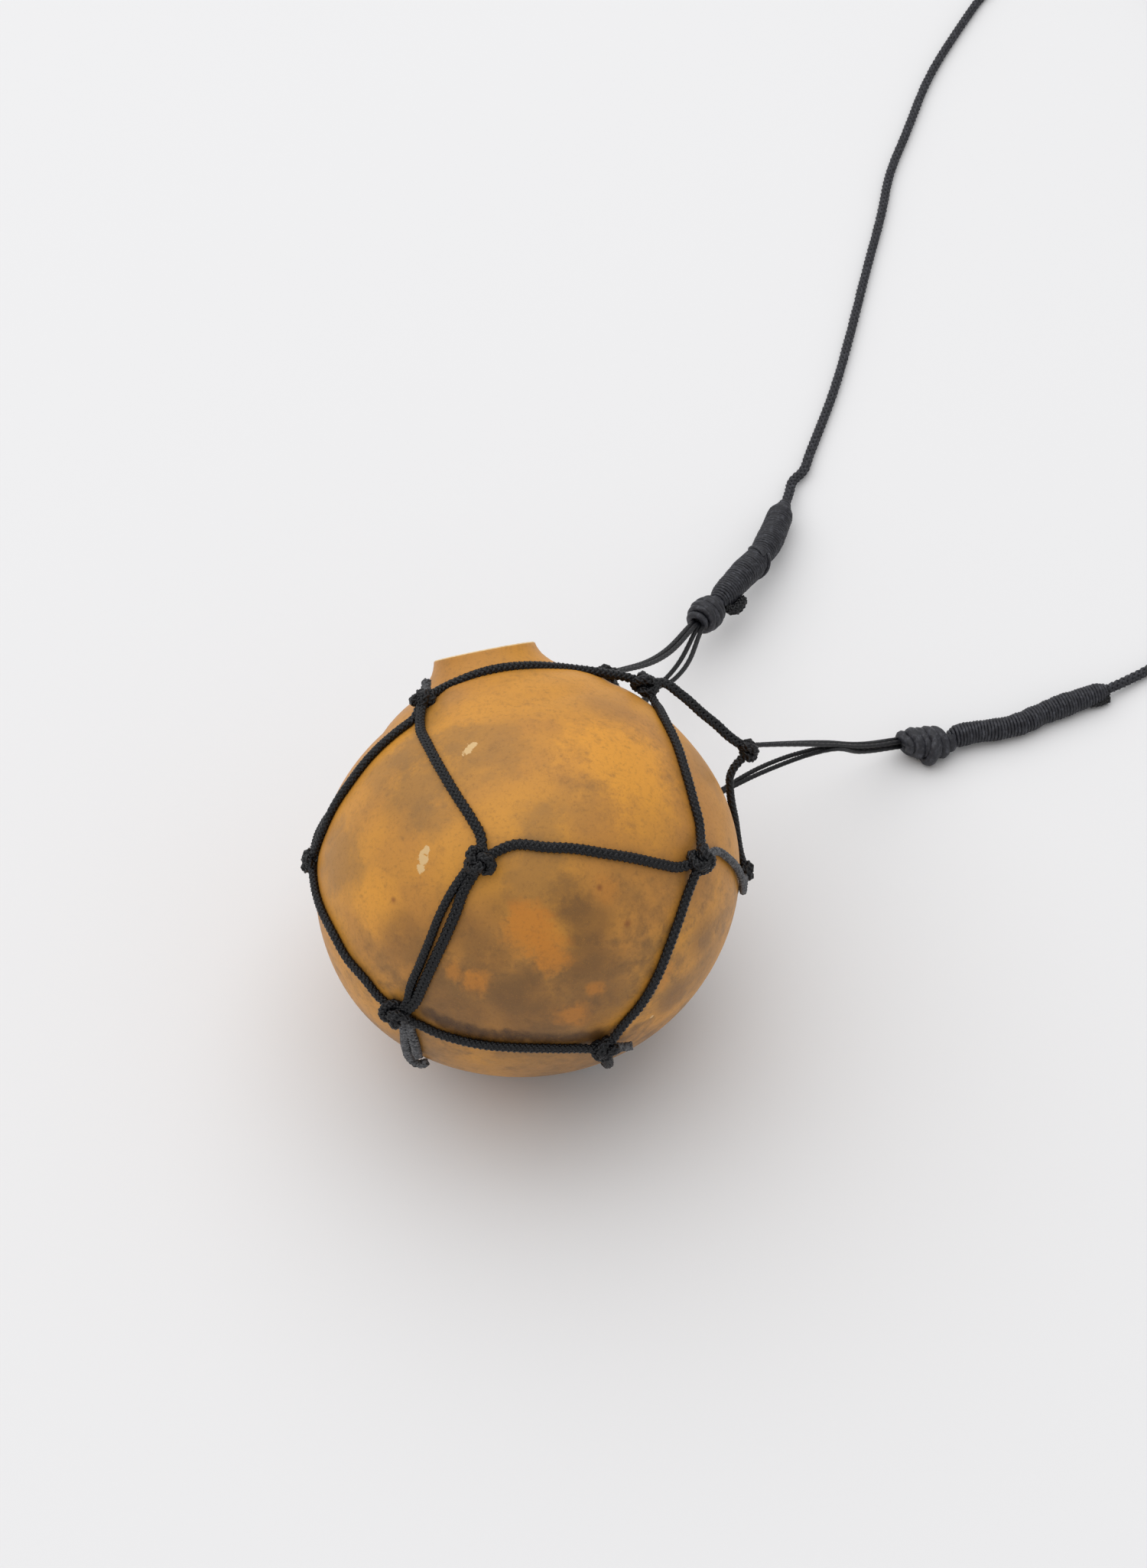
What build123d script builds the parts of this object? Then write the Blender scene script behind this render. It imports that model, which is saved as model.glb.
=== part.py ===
from build123d import *
from math import cos, pi, radians, sin, sqrt, tan
import os

# Small gourd rattle in a knotted net of waxed cord, with a neck cord tied to the net.
# Millimetres. +Z is up and the floor is z = 0. The gourd lies on its side with its mouth
# away from -Y, and the frame's origin is on the floor under the middle of the gourd.

os.makedirs("parts", exist_ok=True)

# ---- driving dimensions -------------------------------------------------------------
GOURD_RADIUS = 32.1  # across, at the fullest part
GOURD_HALF_HEIGHT = 30.1  # from the fullest part to the blossom end
RIM_RADIUS = 7.7  # outside, at the cut mouth
RIM_HEIGHT = 34.6  # from the fullest part to the cut mouth, along the neck
MOUTH_BORE = 5.3  # radius of the opening through the neck
WALL = 3.0
NECK_AXIS = Vector(-0.191, 0.752, 0.631).normalized()

CORD_WIDTH = 1.5  # flat braided cord of the net
CORD_THICKNESS = 1.1
BAND_WIDTH = 1.9  # the flat stretch that stands off beside the neck
STRAND_WIDTH = 0.9  # thin strands between the net and the neck cord
NECK_CORD = 1.6  # diameter of the round neck cord
WRAP_CORD = 1.0  # diameter of the cord wound round each whipping
WRAP_TURNS = 10

# ---- the gourd's own frame ----------------------------------------------------------
up_share = NECK_AXIS.Z
rest_height = sqrt(GOURD_RADIUS**2 * (1 - up_share**2) + (GOURD_HALF_HEIGHT * up_share) ** 2)
GOURD_CENTRE = Vector(0, 0, rest_height)
crest = (Vector(0, 0, 1) - NECK_AXIS * up_share).normalized()
gourd = Plane(origin=GOURD_CENTRE, x_dir=crest, z_dir=NECK_AXIS)


def on_gourd(latitude, longitude, stand_off):
    """A point over the gourd's body. Latitude rises towards the mouth, longitude 0 is the crest."""
    up, round_ = radians(latitude), radians(longitude)
    skin = 1 / sqrt((cos(up) / GOURD_RADIUS) ** 2 + (sin(up) / GOURD_HALF_HEIGHT) ** 2)
    reach = skin + stand_off
    local = Vector(cos(up) * cos(round_), cos(up) * sin(round_), sin(up)) * reach
    return gourd.from_local_coords(local)


def save(part, name):
    part.label = name
    export_step(part, f"parts/{name}.step")
    saved[name] = part


saved = {}

# ---- gourd shell: a dried calabash, neck sawn off square, pith scraped out -----------
SHOULDER_ANGLE = 57.3  # where the round body gives way to the drawn-in neck
BANDS = 14  # narrow cones that the round body's outside is turned in
neck = [(14.6, 27.6), (11.9, 29.3), (9.5, 31.2), (8.2, 33.1), (RIM_RADIUS, RIM_HEIGHT)]
cavity = [
    (MOUTH_BORE, RIM_HEIGHT),
    (MOUTH_BORE, 29.0),
    (17.5, 22.2),
    (GOURD_RADIUS - WALL, 6.0),
    (GOURD_RADIUS - WALL, -6.0),
    (17.5, -21.8),
    (0, WALL - GOURD_HALF_HEIGHT),
]


def outline(angle):
    """A point of the round body's outline, that many degrees up from its fullest part."""
    return Vector(GOURD_RADIUS * cos(radians(angle)), GOURD_HALF_HEIGHT * sin(radians(angle)))


section = Plane(origin=GOURD_CENTRE, x_dir=crest, z_dir=crest.cross(NECK_AXIS))
with BuildPart() as gourd_shell:
    with BuildSketch(section) as half_section:
        with BuildLine():
            rise = (SHOULDER_ANGLE + 90) / BANDS
            body = Polyline(*[outline(band * rise - 90) for band in range(BANDS + 1)])
            Polyline(body @ 1, *neck)
            Polyline(neck[-1], *cavity)
            Line(cavity[-1], (0, -GOURD_HALF_HEIGHT))
        make_face()
    revolve(axis=Axis(GOURD_CENTRE, NECK_AXIS))
save(gourd_shell.part, "gourd_shell")

# ---- mouth plug: a short round peg, pushed in to just below the cut rim ----------------
PLUG_TOP = RIM_HEIGHT - 1.0
PLUG_LENGTH = 4.1
PLUG_EDGE = 0.4  # chamfer round its outer end
with BuildPart() as mouth_plug:
    with BuildSketch(gourd.offset(PLUG_TOP)):
        Circle(MOUTH_BORE)
    extrude(amount=-PLUG_LENGTH)
    chamfer(mouth_plug.edges().sort_by(Axis(GOURD_CENTRE, NECK_AXIS))[-1], PLUG_EDGE)
save(mouth_plug.part, "mouth_plug")


def collar(middle, along, out, width, thickness, shoulder):
    """An eight-sided length of a rod, with its two rims cut back."""
    with BuildPart() as rod:
        with BuildSketch(Plane(origin=middle, x_dir=out, z_dir=along)):
            RegularPolygon(width / 2, 8)
        extrude(amount=thickness / 2, both=True)
        rims = rod.edges().group_by(Axis(middle, along))
        chamfer(rims[0] + rims[-1], length=shoulder)
    return rod.part


# ---- seeds: loose in the bottom of the gourd -------------------------------------------
SEED_LENGTH = 5.0
SEED_WIDTH = 3.2
SEED_SHOULDER = 0.7  # cut off round each end
SEED_BED = 23.6  # from the gourd's centre down to the middles of the seeds
seed_rings = [(1, 0.0, 0), (5, 13.0, 20), (10, 26.0, 0)]  # count, degrees off plumb, first turn
with BuildPart() as seeds:
    for count, lean, first in seed_rings:
        for number in range(count):
            turn = radians(first + 360 * number / count)
            out = Vector(sin(radians(lean)) * cos(turn), sin(radians(lean)) * sin(turn))
            place = GOURD_CENTRE + (out - Vector(0, 0, cos(radians(lean)))) * SEED_BED
            lie = Vector(-sin(turn + 0.5 * number), cos(turn + 0.5 * number), 0)
            add(collar(place, lie, Vector(0, 0, 1), SEED_WIDTH, SEED_LENGTH, SEED_SHOULDER))
save(seeds.part, "seeds")

# ---- net knots: overhand knots drawn down on the gourd's skin --------------------------
# name: (latitude, longitude, stand-off of the knot's middle, knot width)
knots = {
    "neck_left": (63, -53, 2.0, 3.4),
    "neck_right": (47.6, 79, 2.6, 4.2),
    "neck_back": (55, 105, 3.7, 3.2),
    "side_left": (15, -90, 1.8, 3.2),
    "front_middle": (7, -19, 2.2, 4.4),
    "front_right": (-3.5, 40, 2.1, 4.2),
    "low_left": (-29, -59, 2.1, 4.2),
    "low_right": (-56, 12, 1.9, 3.8),
    "side_right": (18.5, 88.5, 7.1, 3.4),
    "far_right": (-11, 91, 1.6, 3.0),
    "back_upper": (32, 127, 2.4, 3.4),
    "back_right": (10, 111, 2.2, 3.4),
    "back_left": (33, -134, 2.0, 3.6),
    "under_right": (-22, 134, 1.9, 3.6),
    "under_left": (-1, -164, 1.9, 3.6),
    "under_front": (-62, 150, 1.9, 3.6),
}
KNOT_LENGTH = 1.15  # of its width, along the cord
# its three wraps, side by side: (share of the knot's length, share of its width)
wraps = [(-0.31, 0.84), (0, 1), (0.31, 0.84)]
WRAP_SHARE = 0.38  # of the knot's length, in one wrap


def wrapped_knot(middle, along, out, width, length):
    """A drawn-down knot: three wraps of cord round the line along which it is pulled."""
    with BuildPart() as knot:
        for share, girth in wraps:
            place = middle + along * (share * length)
            thickness = length * WRAP_SHARE
            add(collar(place, along, out, width * girth, thickness, thickness * 0.3))
    return knot.part


knot_places = {}
for name, (latitude, longitude, stand_off, width) in knots.items():
    place = on_gourd(latitude, longitude, stand_off)
    outward = (place - GOURD_CENTRE).normalized()
    along = on_gourd(latitude, longitude + 20, stand_off) - place
    along = (along - outward * along.dot(outward)).normalized()
    save(wrapped_knot(place, along, outward, width, width * KNOT_LENGTH), f"knot_{name}")
    knot_places[name] = place

# ---- net cords: one from knot to knot, each bent over the gourd's skin -----------------
# (first knot, last knot, [latitude, longitude, stand-off of each point on the way])
LAID = CORD_THICKNESS / 2 + 0.3  # stand-off of a cord that lies on the skin
TUCK = 1.1  # from the middle of a knot to the end of each cord in it
net = [
    ("neck_left", "neck_right", [(71.5, -33, 2.95), (72.5, 0, 3.15), (68.4, 54.2, 2.3)]),
    ("neck_left", "side_left", [(41, -79, LAID)]),
    ("side_left", "low_left", [(-8, -80, LAID)]),
    ("neck_left", "front_middle", [(36, -31, LAID)]),
    ("front_middle", "front_right", [(4.5, 9, LAID)]),
    ("front_right", "neck_right", [(23, 54, LAID)]),
    ("front_right", "low_right", [(-31, 34, LAID)]),
    ("low_left", "low_right", [(-47, -35, LAID)]),
    ("neck_right", "side_right", [(42.3, 82.3, 5.0), (27.7, 86.6, 5.2)]),
    ("side_right", "far_right", [(11, 89.5, 2.4)]),
    ("front_right", "far_right", [(-8, 66, LAID)]),
    ("neck_back", "back_left", [(60, 165, 1.2)]),
    ("neck_back", "back_upper", [(44, 118, 2.6)]),
    ("back_upper", "back_right", [(21, 118, 1.9)]),
    ("back_upper", "under_left", [(20, 162, LAID)]),
    ("back_right", "under_right", [(-7, 122, LAID)]),
    ("far_right", "under_right", [(-19, 112, LAID)]),
    ("back_left", "side_left", [(26, -112, LAID)]),
    ("back_left", "under_left", [(17, -148, LAID)]),
    ("under_left", "under_front", [(-40, -146, LAID), (-60, -168, LAID)]),
    ("under_right", "under_front", [(-42, 138, LAID)]),
    ("low_right", "under_front", [(-77.5, 68, LAID)]),
]


def flat_cord(points, width, thickness, outward):
    """A flat cord swept along arcs: the first three points make one, and each other ends one."""
    with BuildPart() as cord:
        with BuildLine() as run:
            arc = ThreePointArc(*points[:3])
            for point in points[3:]:
                arc = TangentArc(arc @ 1, point, tangent=arc % 1)
        start, heading = run.line @ 0, run.line % 0
        with BuildSketch(Plane(origin=start, x_dir=heading.cross(outward), z_dir=heading)):
            Rectangle(width, thickness)
        sweep()
    return cord.part


for first, last, on_the_way in net:
    way = [on_gourd(*point) for point in on_the_way]
    start, end = knot_places[first], knot_places[last]
    start += (way[0] - start).normalized() * TUCK
    end += (way[-1] - end).normalized() * TUCK
    width = BAND_WIDTH if last == "side_right" else CORD_WIDTH
    cord = flat_cord([start, *way, end], width, CORD_THICKNESS, start - GOURD_CENTRE)
    save(cord, f"cord_{first}_to_{last}")

# the doubled cord down the front: two cords side by side, with a small gap lower down
for side, spread in (("left", -2.2), ("right", 2.2)):
    points = [
        on_gourd(5.5, -20 + spread, 0.9),
        on_gourd(-12, -38 + spread * 1.1, LAID),
        on_gourd(-27, -58 + spread * 1.1, 0.9),
    ]
    cord = flat_cord(points, CORD_WIDTH, CORD_THICKNESS, points[0] - GOURD_CENTRE)
    save(cord, f"cord_front_middle_to_low_left_{side}")

# ---- cut tails of the net's knots --------------------------------------------------------
tails = [
    [(63, -53, 2.2), (65.5, -52.7, 2.8), (67.9, -54.2, 3.8)],
    [(-29.5, -61.8, 1.1), (-40, -75.5, 1.5), (-46.1, -85.2, 2.7), (-49.6, -83.5, 1.1)],
    [(-31.5, -57.5, 1.1), (-38, -64.5, 1.0), (-45.3, -74.7, 1.6)],
    [(-56, 12, 1.2), (-60.3, 23, 0.9), (-57.8, 27.6, 1.7)],
]
with BuildPart() as cut_tails:
    for route in tails:
        points = [on_gourd(*point) for point in route]
        add(flat_cord(points, CORD_WIDTH, CORD_THICKNESS * 0.8, points[0] - GOURD_CENTRE))
save(cut_tails.part, "cut_tails")


# ---- the two whippings: the neck cord's ends, bound to the net's strands ------------------
def biarc(start, leaving, end, arriving):
    """Two arcs that join tangentially, from start to end with those directions there."""
    across, both = start - end, leaving + arriving
    bend = 1 - leaving.dot(arriving)
    reach = across.dot(both) + sqrt(across.dot(both) ** 2 + 2 * bend * across.dot(across))
    reach /= 2 * bend
    middle = (start + leaving * reach + end - arriving * reach) / 2
    first = TangentArc(start, middle, tangent=leaving)
    return TangentArc(middle, end, tangent=first % 1)


def spine(points):
    """A whipping's middle line: an arc through three points, then tangent arcs."""
    arc = ThreePointArc(*points[:3])
    for point in points[3:]:
        arc = TangentArc(arc @ 1, point, tangent=arc % 1)


# middle line of each, from the joining knot to the neck cord
whippings = {
    "upper": [(31.4, 78.6, 7.5), (35.4, 85.2, 6.5), (39.4, 92.2, 5.0), (44.0, 106.3, 2.6)],
    "lower": [(69.3, 53.0, 2.5), (77.8, 54.5, 2.1), (85.3, 58.4, 1.9), (96.6, 63.6, 1.9)],
}
wrap_outsides = {"upper": 4.8, "lower": 3.6}  # diameter of each over its turns
# joining knot at the foot of each: (width, length)
joining_knots = {"upper": (6.0, 7.6), "lower": (5.2, 8.4)}
HALF_TURNS = 2  # biarcs in a turn
SEAT = 0.02  # between the core and the turns on it
SAMPLES = 24  # points measured in each turn
joined = {}
for name, points in whippings.items():
    width, length = joining_knots[name]
    end = Vector(*points[0])
    along = (Vector(*points[1]) - end).normalized()
    across = along.cross(Vector(0, 0, 1)).normalized()
    middle = end - along * (length / 2)
    save(wrapped_knot(middle, along, across, width, length), f"joining_knot_{name}")
    joined[name] = (end - along * length, along, across)

for name, points in whippings.items():
    core_width = wrap_outsides[name] - 2 * WRAP_CORD
    with BuildPart() as core:
        with BuildLine() as middle:
            spine(points)
        line = middle.wire()
        with BuildSketch(Plane(origin=line @ 0, z_dir=line % 0)):
            RegularPolygon(core_width / 2, 8)
        sweep()
    save(core.part, f"whipping_core_{name}")

    lap = (core_width + WRAP_CORD) / 2 + SEAT  # radius of a turn's middle
    margin = WRAP_CORD / 2 / line.length
    count = WRAP_TURNS * HALF_TURNS * 2
    stations = []
    for step in range(count + 1):
        share = margin + (1 - 2 * margin) * step / count
        across = (line % share).cross(Vector(0, 0, 1)).normalized()
        up = across.cross(line % share)
        turn = 2 * pi * WRAP_TURNS * step / count
        out = across * cos(turn) + up * sin(turn)
        round_ = up * cos(turn) - across * sin(turn)
        pitch = line.length * (1 - 2 * margin) / WRAP_TURNS
        heading = (round_ * (2 * pi * lap) + (line % share) * pitch).normalized()
        stations.append((line @ share + out * lap, heading))
    with BuildPart() as winding:
        with BuildLine() as lay:
            for (start, leaving), (end, arriving) in zip(stations[::2], stations[2::2]):
                biarc(start, leaving, end, arriving)
        with BuildSketch(Plane(origin=lay.line @ 0, z_dir=lay.line % 0)):
            RegularPolygon(WRAP_CORD / 2, 4)
        sweep(clean=False)
    save(winding.part, f"whipping_{name}")
    wire = lay.wire()
    total = WRAP_TURNS * SAMPLES
    dots = [wire @ (number / total) for number in range(total + 1)]
    gap = min(
        (there - here).length
        for number, here in enumerate(dots)
        for there in dots[number + SAMPLES // 2 :]
    )
    print(f"whipping_{name}: least gap of the winding to itself {gap - WRAP_CORD:.2f}")

# ---- the wrapping cords' cut ends, beside the whippings ------------------------------------
wrap_ends = [
    [(32.6, 77.6, 6.6), (33.9, 76.8, 6.2), (35.2, 78.6, 6.2)],
    [(93.5, 61.2, 1.3), (95.4, 61.6, 1.1), (97.1, 62.6, 0.9)],
]
with BuildPart() as wrapping_ends:
    for route in wrap_ends:
        points = [Vector(*point) for point in route]
        add(flat_cord(points, CORD_WIDTH, CORD_THICKNESS, Vector(0, 0, 1)))
save(wrapping_ends.part, "wrapping_ends")

# ---- strands: from the net's neck-side knots into the joining knots, two by two -------------
def strand_pair(lanes, across, gap):
    """Two strands, each along one lane, which part by the gap at their lanes' middles."""
    with BuildPart() as pair:
        for side, lane in zip((-1, 1), lanes):
            *bundled, middle, start = lane
            part_way = across * (side * gap / 2)
            points = [*bundled, middle + part_way, start + part_way * 0.8]
            add(flat_cord(points, STRAND_WIDTH, STRAND_WIDTH * 0.9, Vector(0, 0, 1)))
    return pair.part


BITE = 0.5  # how far each strand runs into its joining knot
# the upper four run straight from the net into the joining knot, all in one row
# (net knot, place in the row, gap between the two strands, bow of their middles)
upper_strands = [
    ("neck_back", -1.1, 1.3, (0.6, 0, -2.0)),
    ("back_upper", 1.1, 1.5, (0.8, 0, 0.4)),
]
SIDE_BY_SIDE = 0.68  # from a pair's middle to each of its strands, at the joining knot
foot, along, across = joined["upper"]
for knot_name, place, gap, bow in upper_strands:
    start = knot_places[knot_name]
    spread = (foot - start).cross(Vector(0, 0, 1)).normalized()
    lanes = []
    for side in (-1, 1):
        end = foot + across * (place + SIDE_BY_SIDE * side) + along * BITE
        lanes.append([end, (start + end) / 2 + Vector(*bow), start])
    save(strand_pair(lanes, spread, gap), f"strands_{knot_name}")

# the lower four run together from the joining knot half way to the net, one pair on the other
# (net knot, place over the bundle's middle, gap between the two strands, bow of their middles)
lower_strands = [
    ("side_right", 0.55, 1.3, (0.1, 0.2, 0.6)),
    ("back_right", -0.55, 1.5, (0, 0.4, 1.2)),
]
BUNDLE_SHARE = 0.51  # of the way from the joining knot to the net's side knot
BUNDLE_SAG = 0.6
LANE = 0.55  # from the bundle's middle to each strand, sideways
foot = joined["lower"][0]
reach = knot_places["side_right"] - foot
spread = reach.cross(Vector(0, 0, 1)).normalized()
lift = spread.cross(reach).normalized()
for knot_name, place, gap, bow in lower_strands:
    start = knot_places[knot_name]
    lanes = []
    for side in (-1, 1):
        lane = spread * (LANE * side) + lift * place
        end = foot - reach.normalized() * BITE + lane
        merge = foot + reach * BUNDLE_SHARE + lane
        sagging = foot + reach * (BUNDLE_SHARE / 2) + lane - lift * BUNDLE_SAG
        lanes.append([end, sagging, merge, (start + merge) / 2 + Vector(*bow), start])
    save(strand_pair(lanes, spread, gap), f"strands_{knot_name}")

# ---- neck cord: a round cord from one whipping to the other, lying on the floor -------------
neck_route = [
    (44.0, 106.3, 2.6),
    (45.0, 109.8, 2.0),
    (45.4, 113.1, 1.5),
    (47.9, 116.0, 1.2),
    (48.7, 119.6, 1.0),
    (50.6, 125.5, 0.85),
    (54.4, 137.5, 0.85),
    (58.2, 153.5, 0.85),
    (61.8, 170.0, 0.85),
    (65.4, 185.0, 0.85),
    (67.3, 196.5, 0.85),
    (71.6, 209.0, 0.85),
    (76.4, 225.0, 0.85),
    (84.0, 241.0, 0.85),
    (90.5, 253.5, 0.85),
    (99.5, 263.0, 0.85),
    (112.0, 265.0, 0.85),
    (123.0, 257.5, 0.85),
    (129.0, 243.0, 0.85),
    (131.5, 224.0, 0.85),
    (132.0, 203.0, 0.85),
    (131.0, 181.0, 0.85),
    (130.8, 159.0, 0.85),
    (130.0, 137.0, 0.85),
    (128.0, 117.0, 0.85),
    (123.5, 98.5, 0.85),
    (116.8, 82.5, 0.85),
    (108.0, 71.6, 0.85),
    (101.8, 67.0, 1.2),
    (96.6, 63.6, 1.9),
]
corners = [Vector(*point) for point in neck_route]
bends = []
for before, corner, after in zip(corners, corners[1:], corners[2:]):
    coming, going = corner - before, after - corner
    half_turn = radians(coming.get_angle(going)) / 2
    bends.append(0.45 * min(coming.length, going.length) / tan(half_turn))
with BuildPart() as neck_cord:
    with BuildLine() as lie:
        FilletPolyline(*corners, radius=bends)
    with BuildSketch(Plane(origin=corners[0], z_dir=corners[1] - corners[0])):
        RegularPolygon(NECK_CORD / 2, 8)
    sweep()
save(neck_cord.part, "neck_cord")
lie_length = lie.wire().length
area = 2 * sqrt(2) * (NECK_CORD / 2) ** 2
print(f"neck cord: length {lie_length:.1f}, volume over section times length "
      f"{neck_cord.part.volume / (area * lie_length):.4f}")
print("neck cord radii:", [round(bend, 1) for bend in bends])

for name, part in saved.items():
    box = part.bounding_box()
    print(f"{name}: volume {part.volume:.1f}, solids {len(part.solids())}, z from {box.min.Z:.2f}")
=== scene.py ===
# A small gourd rattle in a net of knotted waxed cord, lying on a pale table with the neck
# cord that it hangs by. Metres; +Z is up and the table is z = 0. Sizes of the real pieces are
# written in millimetres and brought to metres with MM.

from math import cos, exp, pi, radians, sin, sqrt

import bmesh
import bpy
from mathutils import Matrix, Vector, noise


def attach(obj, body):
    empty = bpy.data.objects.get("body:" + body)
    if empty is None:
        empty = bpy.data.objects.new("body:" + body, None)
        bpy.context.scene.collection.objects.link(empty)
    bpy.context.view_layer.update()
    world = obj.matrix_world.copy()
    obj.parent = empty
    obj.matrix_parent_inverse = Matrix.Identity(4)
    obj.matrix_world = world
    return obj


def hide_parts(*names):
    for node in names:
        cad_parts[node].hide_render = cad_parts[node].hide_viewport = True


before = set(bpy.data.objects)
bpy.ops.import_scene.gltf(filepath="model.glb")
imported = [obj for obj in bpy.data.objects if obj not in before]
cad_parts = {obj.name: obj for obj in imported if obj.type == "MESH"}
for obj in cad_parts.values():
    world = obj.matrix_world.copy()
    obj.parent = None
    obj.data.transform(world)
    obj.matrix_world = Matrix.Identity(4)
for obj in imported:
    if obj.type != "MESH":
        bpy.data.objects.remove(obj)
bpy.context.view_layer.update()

MM = 0.001

# ---- the gourd -----------------------------------------------------------------------------
# A dried calabash the size of a small apple, its neck sawn off square and its pith scraped
# out. The skin is a hard, satin, mottled rind, and the sawn rim shows the pale flesh.

GOURD_RADIUS = 32.1
GOURD_HALF_HEIGHT = 30.1
RIM_RADIUS = 7.7
RIM_HEIGHT = 34.6
MOUTH_BORE = 5.3
WALL = 3.0
NECK_AXIS = Vector((-0.191, 0.752, 0.631)).normalized()
REST_HEIGHT = sqrt(
    GOURD_RADIUS**2 * (1 - NECK_AXIS.z**2) + (GOURD_HALF_HEIGHT * NECK_AXIS.z) ** 2
)
GOURD_CENTRE = Vector((0, 0, REST_HEIGHT))
CREST = (Vector((0, 0, 1)) - NECK_AXIS * NECK_AXIS.z).normalized()
ASIDE = NECK_AXIS.cross(CREST)
SHOULDER_ANGLE = 57.3
# from the shoulder to the rim: (out from the neck's middle, up along it)
NECK_CURVE = [
    (16.1, 26.5), (14.8, 27.5), (13.6, 28.3), (12.4, 29.0), (11.4, 29.65), (10.4, 30.35),
    (9.6, 31.1), (8.95, 31.9), (8.45, 32.6), (8.1, 33.3), (7.85, 34.0), (7.75, 34.45),
]
RIM_EDGE = 0.1  # how far the rim's outer edge is worn off
BORE_EDGE = 0.15  # and its inner edge
BORE_STOPS = (34.4, 31.5, 28.9)  # heights down the bore, to where it opens into the room
ROOM_TOP = 76.0  # latitude of the top of the room
OUTSIDE_STEPS = 70
INSIDE_STEPS = 50
SPIN_STEPS = 200
SKIN_DEPTH = 1.0  # whatever lies deeper than this is flesh
SAWN_DEPTH = 0.15  # the flesh shows this far down from the rim
BORED_DEPTH = 0.12  # and this far round the bore
SKIN_RIPPLE = 0.12  # how far the skin swells out here and there
RIPPLE_SIZE = 17.0
RIPPLE_FOOT = 1.5  # there are no ripples up to this height, where the gourd rests
RIPPLE_FADE = 6.0  # and they have all come in this far over it
# the body isn't quite round: (latitude, longitude, how far it swells, spread in degrees)
SWELLINGS = [(55, 80, 1.1, 19), (-34, -93, 0.6, 25), (-36, 62, -0.35, 25)]
NECK_FOOT = 29.0  # the swellings fade out from here up the neck
NECK_TOP = 34.0


class Wire:
    """An output in a material. Arithmetic on wires adds Math nodes."""

    def __init__(self, finish, socket):
        self.finish = finish
        self.socket = socket

    def math(self, operation, *others):
        values = dict(enumerate((self, *others)))
        return self.finish.node("ShaderNodeMath", {"operation": operation}, values)

    def __add__(self, other):
        return self.math("ADD", other)

    def __sub__(self, other):
        return self.math("SUBTRACT", other)

    def __mul__(self, other):
        return self.math("MULTIPLY", other)

    def __rsub__(self, other):
        return (self * -1) + other

    __radd__ = __add__
    __rmul__ = __mul__

    def step(self, low, high):
        """0 below low, 1 above high, and smooth between them."""
        settings = {"interpolation_type": "SMOOTHSTEP"}
        return self.finish.node(
            "ShaderNodeMapRange", settings, {"Value": self, "From Min": low, "From Max": high}
        )


class Finish:
    """A material with one Principled shader, and the nodes that feed it."""

    def __init__(self, name, **steady):
        self.material = bpy.data.materials.new(name)
        self.material.use_nodes = True
        self.tree = self.material.node_tree
        self.shader = self.tree.nodes["Principled BSDF"]
        self.set_all(self.shader, {key.replace("_", " "): value for key, value in steady.items()})
        place = self.tree.nodes.new("ShaderNodeTexCoord")
        self.place = Wire(self, place.outputs["Object"])

    def set_all(self, node, values):
        """Set or link a node's inputs, given by name or by number."""
        for key, value in values.items():
            usable = [s for s in node.inputs if s.enabled]
            socket = usable[key] if isinstance(key, int) else next(s for s in usable if s.name == key)
            if isinstance(value, Wire):
                self.tree.links.new(value.socket, socket)
            else:
                socket.default_value = value

    def node(self, kind, settings=None, values=None):
        """A new node's first output."""
        node = self.tree.nodes.new(kind)
        for key, value in (settings or {}).items():
            if key == "stops":
                ramp = node.color_ramp
                while len(ramp.elements) < len(value):
                    ramp.elements.new(0.5)
                for element, (position, colour) in zip(ramp.elements, value):
                    element.position = position
                    element.color = (*colour, 1)
            else:
                setattr(node, key, value)
        self.set_all(node, values or {})
        return Wire(self, next(s for s in node.outputs if s.enabled))

    def noise(self, scale, detail=3.0, roughness=0.5, distortion=0.0, place=None):
        values = {
            "Vector": place or self.place, "Scale": scale, "Detail": detail,
            "Roughness": roughness, "Distortion": distortion,
        }
        return self.node("ShaderNodeTexNoise", {}, values)

    def mix(self, first, second, share):
        colours = {"Factor": share, "A": first, "B": second}
        settings = {"data_type": "RGBA"}
        for key in ("A", "B"):
            if not isinstance(colours[key], Wire):
                colours[key] = (*colours[key], 1)
        return self.node("ShaderNodeMix", settings, colours)

    def vector(self, operation, first, second):
        return self.node("ShaderNodeVectorMath", {"operation": operation}, {0: first, 1: second})

    def bump(self, height, distance, strength=1.0):
        values = {"Height": height, "Distance": distance, "Strength": strength}
        return self.node("ShaderNodeBump", {}, values)

    def feed(self, **inputs):
        self.set_all(self.shader, {key.replace("_", " "): value for key, value in inputs.items()})


def direction(latitude, longitude):
    """Out of the gourd's middle. Latitude rises towards the mouth; longitude 0 is the crest."""
    up, turn = radians(latitude), radians(longitude)
    return CREST * (cos(up) * cos(turn)) + ASIDE * (cos(up) * sin(turn)) + NECK_AXIS * sin(up)


def body_reach(out):
    """From the gourd's middle to the plain round body, in that direction."""
    height = out.dot(NECK_AXIS)
    return 1 / sqrt((1 - height**2) / GOURD_RADIUS**2 + (height / GOURD_HALF_HEIGHT) ** 2)


def swelling(out):
    """How far the rind stands out over the plain round body."""
    rise = 0.0
    for latitude, longitude, size, spread in SWELLINGS:
        away = out.angle(direction(latitude, longitude)) / radians(spread)
        rise += size * exp(-(away**2))
    return rise


LAID = 0.62  # stand-off of a cord's middle from the rind, where the cord lies on it


def on_gourd(latitude, longitude, stand_off=LAID):
    """A point over the plain round body, in millimetres."""
    out = direction(latitude, longitude)
    return GOURD_CENTRE + out * (body_reach(out) + stand_off)


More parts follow.
